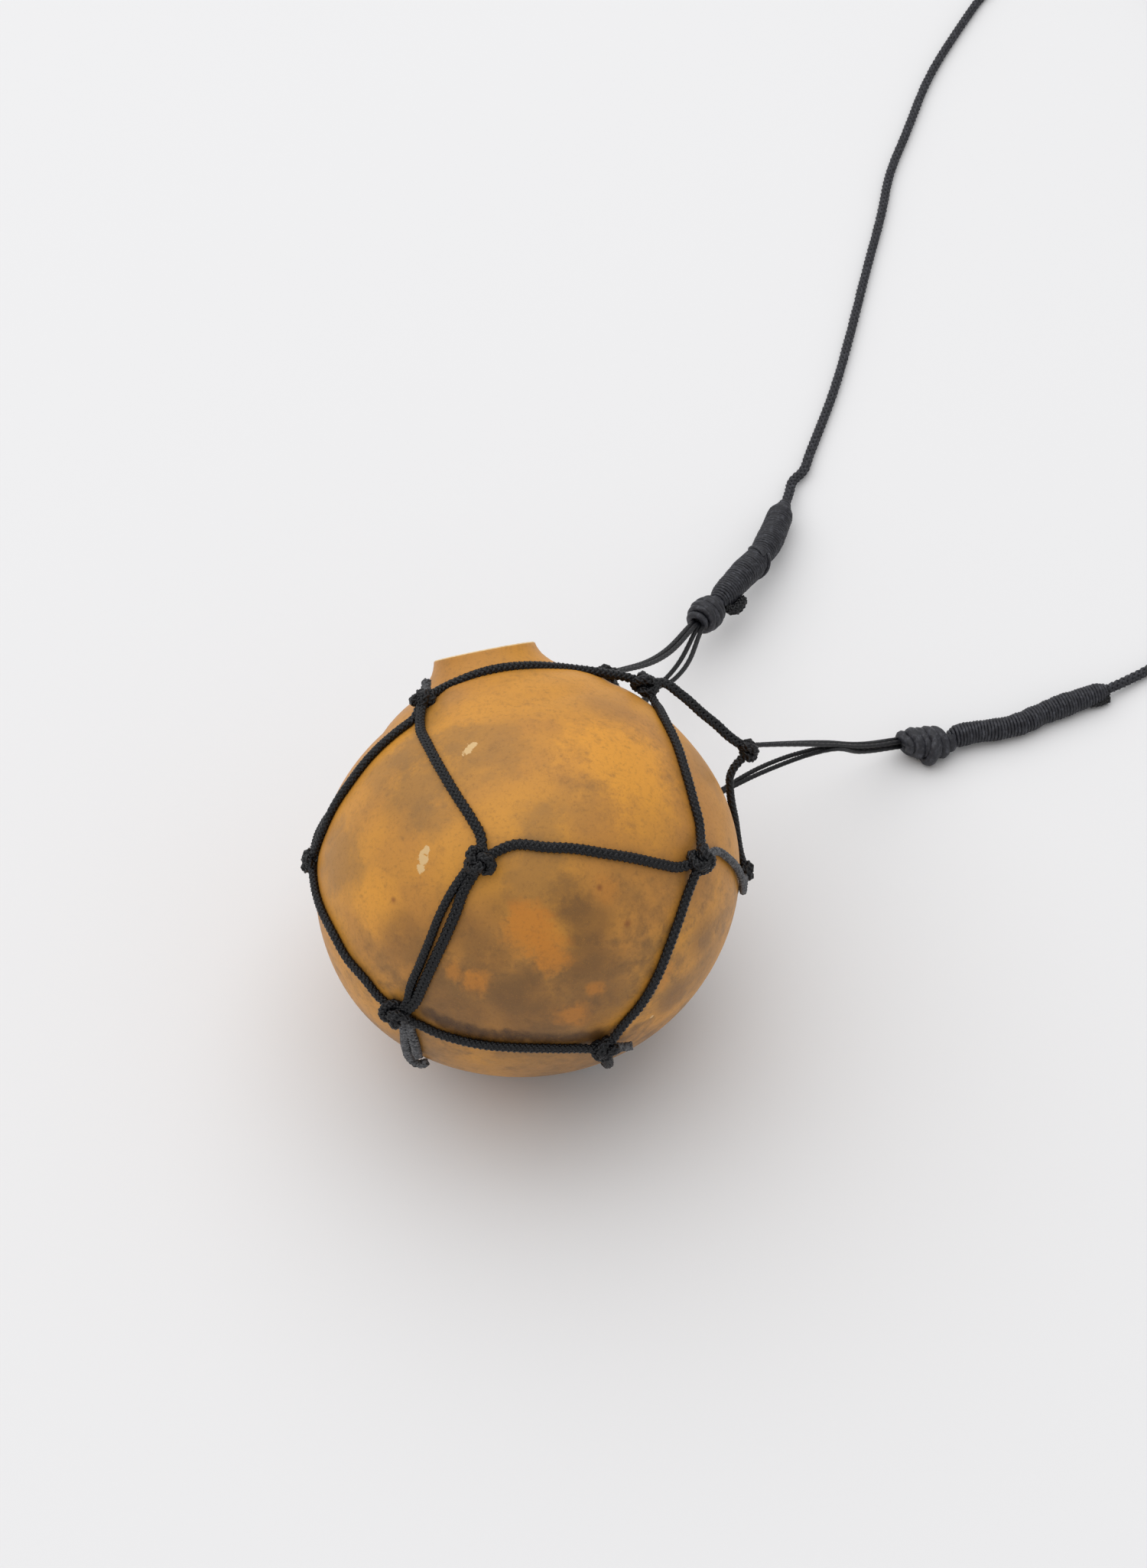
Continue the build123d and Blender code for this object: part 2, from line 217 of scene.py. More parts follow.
def finished(name, mesh, material, body="netted_gourd"):
    """An object in the scene from a mesh drawn in millimetres, riding on its body."""
    if isinstance(mesh, bmesh.types.BMesh):
        drawn = mesh
        mesh = bpy.data.meshes.new(name)
        drawn.to_mesh(mesh)
        drawn.free()
    mesh.name = name
    mesh.transform(Matrix.Scale(MM, 4))
    for material in material if isinstance(material, list) else [material]:
        mesh.materials.append(material)
    mesh.shade_smooth()
    piece = bpy.data.objects.new(name, mesh)
    bpy.context.scene.collection.objects.link(piece)
    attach(piece, body)
    return piece


def gourd_outline():
    """The half section from the blossom end, up the outside, over the rim and down the inside."""
    body_arc = SHOULDER_ANGLE + 90
    body = [radians(-90 + step * body_arc / OUTSIDE_STEPS) for step in range(OUTSIDE_STEPS + 1)]
    outside = [(GOURD_RADIUS * cos(a), GOURD_HALF_HEIGHT * sin(a)) for a in body]
    rim = [(RIM_RADIUS - RIM_EDGE, RIM_HEIGHT), (MOUTH_BORE + BORE_EDGE, RIM_HEIGHT)]
    bore = [(MOUTH_BORE, height) for height in BORE_STOPS]
    room_arc = ROOM_TOP + 90
    room = [radians(ROOM_TOP - step * room_arc / INSIDE_STEPS) for step in range(INSIDE_STEPS + 1)]
    inside = [((GOURD_RADIUS - WALL) * cos(a), (GOURD_HALF_HEIGHT - WALL) * sin(a)) for a in room]
    return outside + NECK_CURVE + rim + bore + inside


gourd = bmesh.new()
stand = [gourd.verts.new((across, 0, up)) for across, up in gourd_outline()]
for low, high in zip(stand, stand[1:]):
    gourd.edges.new((low, high))
bmesh.ops.spin(
    gourd, geom=gourd.verts[:] + gourd.edges[:], cent=(0, 0, 0), axis=(0, 0, 1),
    angle=2 * pi, steps=SPIN_STEPS, use_merge=True,
)
bmesh.ops.remove_doubles(gourd, verts=gourd.verts, dist=0.001)
bmesh.ops.recalc_face_normals(gourd, faces=gourd.faces)
for face in gourd.faces:
    middle = face.calc_center_median()
    across = sqrt(middle.x**2 + middle.y**2)
    on_rim = middle.z > RIM_HEIGHT - SAWN_DEPTH
    deep, tall = GOURD_RADIUS - SKIN_DEPTH, GOURD_HALF_HEIGHT - SKIN_DEPTH
    inner = (across / deep) ** 2 + (middle.z / tall) ** 2 < 1
    bored = across < MOUTH_BORE + BORED_DEPTH and middle.z > 0
    face.material_index = 1 if on_rim or inner or bored else 0
own_axes = Matrix((CREST, ASIDE, NECK_AXIS)).transposed().to_4x4()
bmesh.ops.transform(gourd, matrix=Matrix.Translation(GOURD_CENTRE) @ own_axes, verts=gourd.verts)
gourd.normal_update()
for vert in gourd.verts:
    away = vert.co - GOURD_CENTRE
    ripple = SKIN_RIPPLE * (0.5 + 0.5 * noise.noise(vert.co / RIPPLE_SIZE))
    ripple *= min(max((vert.co.z - RIPPLE_FOOT) / RIPPLE_FADE, 0), 1)
    fade = (NECK_TOP - away.dot(NECK_AXIS)) / (NECK_TOP - NECK_FOOT)
    swell = swelling(away.normalized()) * min(max(fade, 0), 1)
    vert.co += vert.normal * ripple + away.normalized() * swell

# Honey gold where the rind is bare, clouded with olive brown that thickens towards the
# blossom end, where orange patches show through, and flecked with pale scuffs where the thin
# outer skin has flaked away.
gold = (0.62, 0.275, 0.034)
bright_gold = (0.76, 0.330, 0.036)
honey = (0.48, 0.212, 0.040)
ember = (0.54, 0.200, 0.024)
olive_brown = (0.255, 0.131, 0.038)
umber = (0.160, 0.078, 0.025)
scuff = (0.66, 0.44, 0.20)
# dark brown of the painted contact shadow and grime along the lowest cord
shade_and_grime = (0.042, 0.018, 0.006)

skin = Finish("gourd_rind", Specular_IOR_Level=0.35)
along_neck = skin.node(
    "ShaderNodeVectorMath", {"operation": "DOT_PRODUCT"},
    {0: skin.vector("SUBTRACT", skin.place, tuple(GOURD_CENTRE * MM)), 1: tuple(NECK_AXIS)},
)
blossom_half = 1 - along_neck.step(-15 * MM, 4 * MM)
broad = skin.noise(46, 3, 0.5, 0.2)
clouds = skin.noise(95, 5, 0.62, 0.25)
curls = skin.noise(270, 5, 0.68, 0.3)
dapple = skin.noise(620, 4, 0.7)
grain = skin.noise(1900, 3, 0.6)
pores = skin.noise(6000, 2, 0.6)
colour = skin.mix(gold, honey, broad.step(0.36, 0.60))
colour = skin.mix(colour, olive_brown, (clouds * 0.8 + dapple * 0.2).step(0.50, 0.72) * 0.5)
mottle = (clouds * 0.55 + curls * 0.3 + dapple * 0.15).step(0.41, 0.60) * blossom_half
colour = skin.mix(colour, olive_brown, mottle * 0.75)
smudge = (curls * 0.45 + broad * 0.35 + dapple * 0.2).step(0.46, 0.62) * blossom_half
colour = skin.mix(colour, umber, smudge * 0.55)


def distance_to(latitude, longitude):
    """How far the skin is from a spot on it."""
    spot = tuple(on_gourd(latitude, longitude, 0) * MM)
    return skin.node("ShaderNodeVectorMath", {"operation": "DISTANCE"}, {0: skin.place, 1: spot})


# clouds and patches on the skin, and painted shade that darkens the gourd's edges: (latitude,
# longitude, radius, colour, strength)
# the painted edge shade is the olive brown at (15, -68), (21, 66), (-36, 59), (-46, -74) and (-62, -20)
MARKINGS = [
    (26, 28, 10.0, bright_gold, 0.80), (57, -2, 6.5, gold, 0.75), (52, 19, 5.0, gold, 0.60),
    (22, -54, 4.5, gold, 0.35), (0, -53, 5.0, bright_gold, 0.50), (14, -24, 4.5, gold, 0.60),
    (8, 29, 5.0, gold, 0.50), (30, -38, 6.5, olive_brown, 0.65), (46, -27, 3.8, olive_brown, 0.40),
    (22, -32, 4.0, olive_brown, 0.50), (38, -53, 5.0, olive_brown, 0.50),
    (15, -68, 6.5, olive_brown, 0.60), (44, -44, 4.0, olive_brown, 0.50),
    (40, -14, 7.0, olive_brown, 0.50), (-62, -20, 10.0, olive_brown, 0.50),
    (-46, -74, 8.0, olive_brown, 0.40), (21, 66, 5.0, olive_brown, 0.40),
    (-36, 59, 5.5, olive_brown, 0.45), (47, 42, 5.0, olive_brown, 0.25),
    (18, 10, 5.0, olive_brown, 0.25), (13, -2, 4.2, olive_brown, 0.50),
    (1, -6, 6.0, olive_brown, 0.60), (-6, 1, 4.0, umber, 0.45),
    (58, -46, 3.6, olive_brown, 0.45), (-8, -46, 4.2, umber, 0.45), (-13.5, 5, 4.2, umber, 0.65),
    (-10, 2, 3.0, umber, 0.40), (-23, 3, 3.8, umber, 0.65), (-27, 9, 3.2, umber, 0.45),
    (-30, -21, 3.6, umber, 0.70), (-27, -14, 2.6, umber, 0.50), (-24, 47, 3.4, umber, 0.45),
    (-43, 44, 3.8, umber, 0.65), (-40, -15, 6.0, umber, 0.65), (-33, -40, 5.5, umber, 0.70),
    (-39, 8, 4.8, umber, 0.60), (-29, 1, 3.2, umber, 0.35), (-17, -23, 3.6, umber, 0.35),
    (-5, -17, 3.0, umber, 0.30), (-9, -26, 3.4, umber, 0.35), (-11.5, -11, 3.8, ember, 0.90),
    (-16, -6, 2.6, ember, 0.70), (-21, -6, 3.0, ember, 0.80), (-24, -29, 2.8, ember, 0.70),
    (-20, -34, 1.8, ember, 0.50), (-41, -2, 2.8, ember, 0.65), (-33, 6, 1.7, ember, 0.60),
    (-6, 12, 2.4, ember, 0.35), (-34, 30, 3.0, ember, 0.35),
]
# painted contact shadow along the upper side of the net's lowest cord, deepened by grime gathered there
CORD_SHADE_AND_GRIME_LINE = [
    (-31, -50), (-35, -46.5), (-38.3, -42.5), (-40.7, -38), (-42.8, -33.2), (-44.6, -28.3),
    (-46.2, -23), (-47.6, -17.5), (-49, -11.7), (-50.2, -5.8), (-51.1, 1), (-51.7, 8),
]
CORD_SHADE_AND_GRIME_RADIUS = 1.9
CORD_SHADE_AND_GRIME_STRENGTH = 0.78
FRINGE = 3.4  # how far a marking's edge wanders, of its radius
EDGE_FROM, EDGE_TO = 0.35, 1.25  # where a marking starts to fade and where it ends, likewise
MARKINGS += [(*spot, CORD_SHADE_AND_GRIME_RADIUS, shade_and_grime, CORD_SHADE_AND_GRIME_STRENGTH) for spot in CORD_SHADE_AND_GRIME_LINE]
fringe = curls * 0.45 + dapple * 0.3 + clouds * 0.25 - 0.5
for latitude, longitude, radius, tint, strength in MARKINGS:
    edge = distance_to(latitude, longitude) + fringe * (FRINGE * radius * MM)
    share = (1 - edge.step(EDGE_FROM * radius * MM, EDGE_TO * radius * MM)) * strength
    colour = skin.mix(colour, tint, share)
colour = skin.mix(colour, umber, dapple.step(0.52, 0.74) * 0.22)
colour = skin.mix(colour, umber, grain.step(0.50, 0.76) * 0.30)
colour = skin.mix(colour, gold, pores.step(0.56, 0.78) * 0.30)
# where the skin has flaked away: (latitude, longitude, radius)
FLAKES = [
    (41.6, -18.7, 0.70), (39.6, -20.4, 0.70), (12.8, -34.2, 0.70), (8.4, -36.2, 0.70),
    (10.5, -35.2, 0.80), (-49.5, 36.3, 0.30),
]
FLAKE_RAGGED = 1.6  # how far a flake's edge wanders
FLAKE_EDGE = 0.1
ragged = skin.noise(1100, 3, 0.6)
for latitude, longitude, size in FLAKES:
    edge = distance_to(latitude, longitude) + (ragged - 0.5) * (FLAKE_RAGGED * MM)
    colour = skin.mix(scuff, colour, edge.step((size - FLAKE_EDGE) * MM, (size + FLAKE_EDGE) * MM))
# small dark moles: (latitude, longitude, radius)
MOLES = [(-5.1, 9.6, 0.5), (-15.9, 16.3, 0.6), (1.7, -45.9, 0.45)]
mole_brown = (0.20, 0.06, 0.015)
for latitude, longitude, size in MOLES:
    depth = distance_to(latitude, longitude).step(0, size * 1.6 * MM)
    colour = skin.mix(mole_brown, colour, depth * 0.7 + 0.3)
skin.feed(
    Base_Color=colour,
    Roughness=dapple * 0.12 + grain * 0.12 + 0.36,
    Normal=skin.bump(grain * 0.5 + pores * 0.5, 0.06 * MM, 0.6),
)

flesh = Finish("cut_gourd_flesh", Roughness=0.8)
fibre = flesh.noise(1400, 4, 0.65)
flesh.feed(
    Base_Color=flesh.mix((0.78, 0.58, 0.32), (0.60, 0.40, 0.18), fibre.step(0.40, 0.68)),
    Normal=flesh.bump(fibre, 0.12 * MM),
)
gourd = finished("gourd", gourd, [skin.material, flesh.material])
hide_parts("gourd_shell")

# ---- the mouth plug ------------------------------------------------------------------------
# A short whittled peg of plain wood, pushed into the neck to just below the rim. It keeps
# the seeds in.

wood = Finish("plug_wood", Roughness=0.7)
rings = wood.node(
    "ShaderNodeTexWave", {"wave_type": "RINGS", "rings_direction": "SPHERICAL"},
    {"Vector": wood.vector("SUBTRACT", wood.place, tuple(on_gourd(90, 0, 4) * MM)),
     "Scale": 420.0, "Distortion": 3.0, "Detail": 3.0, "Detail Scale": 2.0},
)
wood.feed(
    Base_Color=wood.mix((0.40, 0.26, 0.13), (0.26, 0.15, 0.07), rings),
    Normal=wood.bump(rings, 0.05 * MM),
)
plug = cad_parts["mouth_plug"]
plug.data.materials.clear()
plug.data.materials.append(wood.material)

# ---- the seeds -----------------------------------------------------------------------------
# Dry brown seeds, sixteen of them, loose in the bottom of the gourd. They make the sound when
# it is shaken.

SEED_LENGTH = 5.0
SEED_WIDTH = 3.1
SEED_DEPTH = 2.5
SEED_BED = 23.6
SEED_RINGS = [(1, 0.0, 0), (5, 13.0, 20), (10, 26.0, 0)]
seed_pile = bmesh.new()
for count, lean, first in SEED_RINGS:
    for number in range(count):
        turn = radians(first + 360 * number / count)
        out = Vector((sin(radians(lean)) * cos(turn), sin(radians(lean)) * sin(turn), 0))
        place = GOURD_CENTRE + (out - Vector((0, 0, cos(radians(lean))))) * SEED_BED
        lie = turn + 0.5 * number + pi / 2
        size = Matrix.Diagonal((SEED_LENGTH / 2, SEED_WIDTH / 2, SEED_DEPTH / 2, 1))
        seat = Matrix.Translation(place) @ Matrix.Rotation(lie, 4, "Z") @ size
        bmesh.ops.create_icosphere(seed_pile, subdivisions=3, radius=1, matrix=seat)
husk = Finish("seed_husk", Roughness=0.55)
streak = husk.noise(900, 4, 0.6)
husk.feed(
    Base_Color=husk.mix((0.20, 0.10, 0.045), (0.07, 0.035, 0.018), streak.step(0.38, 0.64)),
    Normal=husk.bump(streak, 0.08 * MM),
)
seed_pile = finished("seed_pile", seed_pile, husk.material, "loose_seeds")
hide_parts("seeds")

# ---- the net's cords -----------------------------------------------------------------------
# Waxed polyester cord, eight threads braided round a soft filling and pressed a little flat.
# Each cord runs from knot to knot and is drawn tight over the rind.

CORD_WIDTH = 1.5
CORD_THICKNESS = 1.15
THREAD = 0.25  # radius of one thread of the braid
BRAID_PITCH = 3.3  # along the cord, for one turn of a thread
THREADS = 8
OVER_UNDER = 0.5  # of a thread's radius, how far it lifts over the next or dips under it
FILLING = 0.82  # of the cord's thickness
LINE_SPACING = 0.17  # between the points of a net cord's line
UP = Vector((0, 0, 1))

wax = Finish("black_waxed_cord", Specular_IOR_Level=0.32)
dust = wax.noise(1100, 4, 0.65)
lint_and_glints = wax.noise(4200, 3, 0.7)
colour = wax.mix((0.0030, 0.0032, 0.0046), (0.024, 0.025, 0.031), dust.step(0.50, 0.78) * 0.6)
# pale flecks on the threads: some lint, and painted highlights glinting off the braid
colour = wax.mix(colour, (0.42, 0.42, 0.42), lint_and_glints.step(0.68, 0.76) * 0.6)
wax.feed(
    Base_Color=colour,
    Roughness=dust * 0.24 + 0.24,
    Normal=wax.bump(lint_and_glints, 0.05 * MM, 0.6),
)


def curve_line(points, kind="BEZIER", resolution=14):
    """The points along a smooth curve: through the given points, or a NURBS led by them."""
    curve = bpy.data.curves.new("line", "CURVE")
    curve.dimensions = "3D"
    curve.resolution_u = resolution
    spline = curve.splines.new(kind)
    if kind == "BEZIER":
        spline.bezier_points.add(len(points) - 1)
        for end, point in zip(spline.bezier_points, points):
            end.co = point
            end.handle_left_type = end.handle_right_type = "AUTO"
    else:
        spline.points.add(len(points) - 1)
        for end, point in zip(spline.points, points):
            end.co = (*point, 1)
        spline.order_u = 3
        spline.use_endpoint_u = True
    holder = bpy.data.objects.new("line", curve)
    mesh = bpy.data.meshes.new_from_object(holder)
    line = [vert.co.copy() for vert in mesh.vertices]
    bpy.data.meshes.remove(mesh)
    bpy.data.objects.remove(holder)
    bpy.data.curves.remove(curve)
    return line


def runs_of(line):
    """For each point of a line: the direction there and the length up to it."""
    headings, lengths, done = [], [], 0.0
    for number, point in enumerate(line):
        before, after = line[max(number - 1, 0)], line[min(number + 1, len(line) - 1)]
        headings.append((after - before).normalized())
        done += (point - before).length
        lengths.append(done)
    return headings, lengths


def evenly(line, spacing):
    """Points along the same line, a steady spacing apart."""
    lengths = runs_of(line)[1]
    count = max(int(lengths[-1] / spacing), 2)
    even, number = [], 0
    for step in range(count + 1):
        goal = lengths[-1] * step / count
        while number < len(line) - 2 and lengths[number + 1] < goal:
            number += 1
        share = (goal - lengths[number]) / max(lengths[number + 1] - lengths[number], 1e-9)
        even.append(line[number].lerp(line[number + 1], share))
    return even


def thread_bundle(bundle, roundness=1):
    """A mesh of round threads: bundle is a list of (radius, points)."""
    curve = bpy.data.curves.new("threads", "CURVE")
    curve.dimensions = "3D"
    curve.bevel_depth = 1
    curve.bevel_resolution = roundness
    curve.use_fill_caps = True
    for radius, points in bundle:
        spline = curve.splines.new("POLY")
        spline.points.add(len(points) - 1)
        for end, point in zip(spline.points, points):
            end.co = (*point, 1)
            end.radius = radius
    holder = bpy.data.objects.new("threads", curve)
    mesh = bpy.data.meshes.new_from_object(holder)
    bpy.data.objects.remove(holder)
    bpy.data.curves.remove(curve)
    return mesh


def braid(line, outward, width=CORD_WIDTH, thickness=CORD_THICKNESS, thread=THREAD, pitch=BRAID_PITCH):
    """The threads of a braided cord along a line. outward(point) is the flat side's direction."""
    headings, lengths = runs_of(line)
    frames = []
    for point, heading in zip(line, headings):
        out = outward(point)
        aside = heading.cross(out).normalized()
        frames.append((point, aside, aside.cross(heading)))
    across, deep = width / 2 - thread, thickness / 2 - thread
    half = THREADS // 2
    bundle = []
    for number in range(THREADS):
        way = 1 if number < half else -1
        first = 4 * pi * (number % half) / THREADS
        points = []
        for (point, aside, out), length in zip(frames, lengths):
            turn = 2 * pi * length / pitch
            lift = way * OVER_UNDER * thread * cos(turn * half)
            angle = way * turn + first
            points.append(
                point + aside * (cos(angle) * (across + lift)) + out * (sin(angle) * (deep + lift))
            )
        bundle.append((thread, points))
    filling = FILLING * thickness / 2
    for side in (-1, 1):
        shift = side * (width / 2 - thickness / 2)
        bundle.append((filling, [point + aside * shift for point, aside, out in frames]))
    return bundle


def off_gourd(point):
    """Straight out of the gourd there, which is the flat side of a cord that lies on it."""
    return (point - GOURD_CENTRE).normalized()


def laid_line(points):
    """A smooth line through the points, kept out of the rind."""
    laid = []
    for point in evenly(curve_line(points), LINE_SPACING):
        out = off_gourd(point)
        reach = max((point - GOURD_CENTRE).length, body_reach(out) + swelling(out) + LAID)
        laid.append(GOURD_CENTRE + out * reach)
    return laid


# name: (latitude, longitude, stand-off, width, how it is turned from due east, stretch that way)
KNOTS = {
    "neck_left": (63, -52.5, 2.0, 3.8, 70, 1.15),
    "neck_right": (47.6, 79, 3.0, 4.4, 20, 1.1),
    "neck_back": (55, 105, 3.4, 3.3, 60, 1.1),
    "side_left": (15, -90, 0.95, 3.7, 90, 1.15),
    "front_middle": (7, -19, 1.9, 4.5, -35, 1.2),
    "front_right": (-3.2, 39.7, 1.9, 4.5, 60, 1.1),
    "low_left": (-27.9, -59, 1.8, 4.4, -20, 1.25),
    "low_right": (-55.6, 12, 1.6, 4.2, -15, 1.1),
    "side_right": (18.5, 88.5, 7.1, 3.7, 40, 1.0),
    "far_right": (-9.8, 91, 1.7, 3.1, 80, 1.2),
    "back_upper": (32, 127, 2.4, 3.6, 10, 1.1),
    "back_right": (10, 111, 2.2, 3.6, 50, 1.1),
    "back_left": (33, -134, 2.0, 3.8, -70, 1.1),
    "under_right": (-22, 134, 1.9, 3.8, 30, 1.1),
    "under_left": (-1, -164, 1.9, 3.8, 0, 1.1),
    "under_front": (-62, 150, 1.9, 3.8, 75, 1.1),
}
# (first knot, last knot, stops on the way: latitude, longitude and, where it is clear of the
# rind, stand-off)
NET = [
    ("neck_left", "neck_right",
     [(70.6, -46.1, 1.75), (72.0, -35.0, 2.0), (72.7, -22.3, 2.3), (73.0, -0.5, 2.55),
      (72.2, 27.4, 2.3), (69.2, 52.0, 1.9), (65.5, 65.5, 1.8), (57.4, 74.3, 2.3), (51.5, 77.6, 2.9)]),
    ("neck_left", "side_left",
     [(57.5, -54.6), (52.0, -60.8), (45.2, -67.1), (35.9, -73.0), (30.0, -77.8), (24.0, -82.0)]),
    ("side_left", "low_left",
     [(7.6, -84.4), (1.1, -78.4), (-4.3, -73.9), (-11.3, -70.3), (-17.1, -66.2), (-23.9, -63.6)]),
    ("neck_left", "front_middle",
     [(53.3, -45.3), (43.4, -35.5), (32.6, -27.8), (25.3, -23.6), (18.4, -20.0), (12.9, -18.1)]),
    ("front_middle", "front_right",
     [(9.2, -13.5), (9.7, -9.9), (9.2, -7.2), (7.8, -3.0), (5.9, 4.5), (3.3, 11.9), (0.5, 20.0),
      (-2.6, 28.4), (-4.1, 33.9)]),
    ("front_right", "neck_right",
     [(4.0, 44.7), (11.9, 46.2), (19.3, 48.9), (28.0, 54.7), (37.0, 63.8), (43.6, 76.5, 1.7)]),
    ("front_right", "low_right",
     [(-11.7, 35.8), (-17.6, 32.9), (-25.0, 29.9), (-33.4, 27.3), (-42.2, 23.5), (-48.0, 19.3)]),
    ("low_left", "low_right",
     [(-36.1, -53.0), (-40.8, -46.6), (-45.2, -37.7), (-48.6, -27.2), (-51.6, -15.6), (-54.7, -2.6)]),
    ("neck_right", "side_right",
     [(44.3, 81.1, 4.58), (39, 83.6, 4.77), (31.4, 85.7, 4.85), (27.7, 86.6, 5.24),
      (24, 87.5, 5.64)]),
    ("side_right", "far_right",
     [(15.4, 89.8, 3.0), (12.3, 90.2, 2.0), (8.4, 90.4, 1.35), (4.3, 90.6, 1.08),
      (-0.2, 90.8, 0.85), (-4.9, 90.9, 0.95)]),
    ("front_right", "far_right",
     [(-2.3, 50.8), (-4.8, 57), (-7.6, 63.2), (-11, 70), (-14, 76.5), (-14.5, 84, 0.8)]),
    ("neck_back", "back_left", [(60, 135, 1.6), (60, 165, 1.2), (52, -160)]),
    ("neck_back", "back_upper", [(44, 118, 2.6)]),
    ("back_upper", "back_right", [(21, 118, 1.9)]),
    ("back_upper", "under_left", [(27, 143), (20, 162), (9, -178)]),
    ("back_right", "under_right", [(0, 117), (-12, 126)]),
    ("far_right", "under_right", [(-16.5, 99), (-20, 114)]),
    ("back_left", "side_left", [(31, -121), (24, -104)]),
    ("back_left", "under_left", [(25, -140), (13, -152)]),
    ("under_left", "under_front", [(-14, -158), (-28, -150), (-40, -146), (-51, -150), (-60, -168)]),
    ("under_right", "under_front", [(-32, 136), (-42, 138), (-52, 143)]),
    ("low_right", "under_front",
     [(-63.1, 18.4), (-67.9, 25.3), (-72.6, 36.5), (-77.5, 68.2), (-76.6, 110.6), (-73, 129.4)]),
]
BURIED = 0.15  # from a knot's middle to the end of a cord in it, as a share of its width
# width and thickness of the cords that aren't pressed like the others
PRESSED = {
    ("neck_left", "neck_right"): (1.5, 1.35),
    ("neck_right", "side_right"): (1.55, 0.95),
    ("front_right", "far_right"): (1.15, 1.0),
}


def from_knot(name, toward):
    """Where a cord starts in a knot: a little way from its middle towards the next stop."""
    latitude, longitude, stand_off, width = KNOTS[name][:4]
    middle = on_gourd(latitude, longitude, stand_off)
    return middle + (toward - middle).normalized() * (width * BURIED)


# the same cord, grey: its wax has dulled, and the grey is partly a painted sheen where light catches it
# flat
grey_cord = Finish("dulled_and_sheened_cord", Specular_IOR_Level=0.35)
fuzz = grey_cord.noise(1500, 4, 0.7)
grey_cord.feed(
    Base_Color=grey_cord.mix((0.038, 0.039, 0.043), (0.160, 0.161, 0.168), fuzz.step(0.36, 0.66)),
    Roughness=fuzz * 0.2 + 0.55,
    Normal=grey_cord.bump(fuzz, 0.08 * MM),
)


LEAN = 0.3


def upward(point):
    """The flat side of the cord that stands clear of the gourd. It leans a little."""
    return UP - ASIDE * LEAN


for first, last, stops in NET:
    points = [on_gourd(*stop) for stop in stops]
    line = laid_line([from_knot(first, points[0]), *points, from_knot(last, points[-1])])
    width, thickness = PRESSED.get((first, last), (CORD_WIDTH, CORD_THICKNESS))
    flat_side = upward if (first, last) == ("neck_right", "side_right") else off_gourd
    cord = thread_bundle(braid(line, flat_side, width, thickness))
    # the cord over the gourd's right edge is grey: dulled wax and painted sheen
    greyed = (first, last) == ("front_right", "far_right")
    cord = finished(f"net_{first}_to_{last}", cord, grey_cord.material if greyed else wax.material)
    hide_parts(f"cord_{first}_to_{last}")

PAIR_THICKNESS = 1.1
# the doubled cord: (side, width, stops)
PAIR = [
    ("left", 1.25,
     [(5.5, -23.2, 0.9), (1.7, -27.3, 0.7), (-3.8, -32.2), (-9.5, -36.7), (-15.4, -42.1),
      (-21.7, -49.2), (-26.4, -54.3, 0.9), (-27.5, -57.5, 1.4)]),
    ("right", 1.6,
     [(5.0, -20.8, 0.9), (1.1, -24.5, 0.7), (-4.6, -28.3), (-10.2, -32.8), (-16.1, -38.4),
      (-22.2, -45.2), (-26.6, -51.2, 0.9), (-28.0, -56.0, 1.4)]),
]
for side, width, stops in PAIR:
    line = laid_line([on_gourd(*stop) for stop in stops])
    cord = thread_bundle(braid(line, off_gourd, width, PAIR_THICKNESS))
    cord = finished(f"net_front_pair_{side}", cord, wax.material)
    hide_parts(f"cord_front_middle_to_low_left_{side}")

# ---- the net's knots -----------------------------------------------------------------------
# Overhand knots, each tied in the cords that meet there and drawn down hard on the rind. A
# drawn-down overhand knot is a trefoil of three tight bights.

KNOT_CORD = 1.5  # the cord is squeezed round in a knot
KNOT_THREAD = 0.26
KNOT_HEIGHT = 0.78  # of its width
RING_SHARE = 0.60  # of the room in the knot, from its middle to the ring of its bights
BIGHT_SHARE = 0.48  # and how far each bight swings from that ring
FLARE = 0.7  # how far the cord's flat side turns away from the knot's middle
KNOT_STEPS = 149
KNOT_SPACING = 0.2


def trefoil(width, height, stretch):
    """The middle line of an overhand knot, flat side down, in its own axes."""
    room = (width - KNOT_CORD) / 2
    ring, bight = room * RING_SHARE, room * BIGHT_SHARE
    rise = (height - KNOT_CORD) / 2
    line = []
    for step in range(KNOT_STEPS + 1):
        turn = 4 * pi * step / KNOT_STEPS
        reach = ring + bight * cos(1.5 * turn)
        line.append(Vector((reach * cos(turn) * stretch, reach * sin(turn), rise * sin(1.5 * turn))))
    return line


def knot_mesh(place, along, out, width, height, stretch):
    """A knot of braided cord, its length along one direction and its top out."""
    across = out.cross(along)
    line = [
        place + along * point.x + across * point.y + out * point.z
        for point in evenly(trefoil(width, height, stretch), KNOT_SPACING)
    ]

    def outward(point):
        return out + (point - place).normalized() * FLARE

    return thread_bundle(braid(line, outward, KNOT_CORD, KNOT_CORD, KNOT_THREAD))


for name, (latitude, longitude, stand_off, width, turn, stretch) in KNOTS.items():
    place = on_gourd(latitude, longitude, stand_off)
    out = off_gourd(place)
    east = NECK_AXIS.cross(out).normalized()
    along = east * cos(radians(turn)) + out.cross(east) * sin(radians(turn))
    knot = knot_mesh(place, along, out, width, width * KNOT_HEIGHT, stretch)
    knot = finished(f"overhand_{name}", knot, wax.material)
    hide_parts(f"knot_{name}")

# ---- cut tails -----------------------------------------------------------------------------
# The net's spare ends, cut short beside their knots. They are grey: the wax has dulled there,
# and the grey is partly a painted sheen where the light catches them flat.

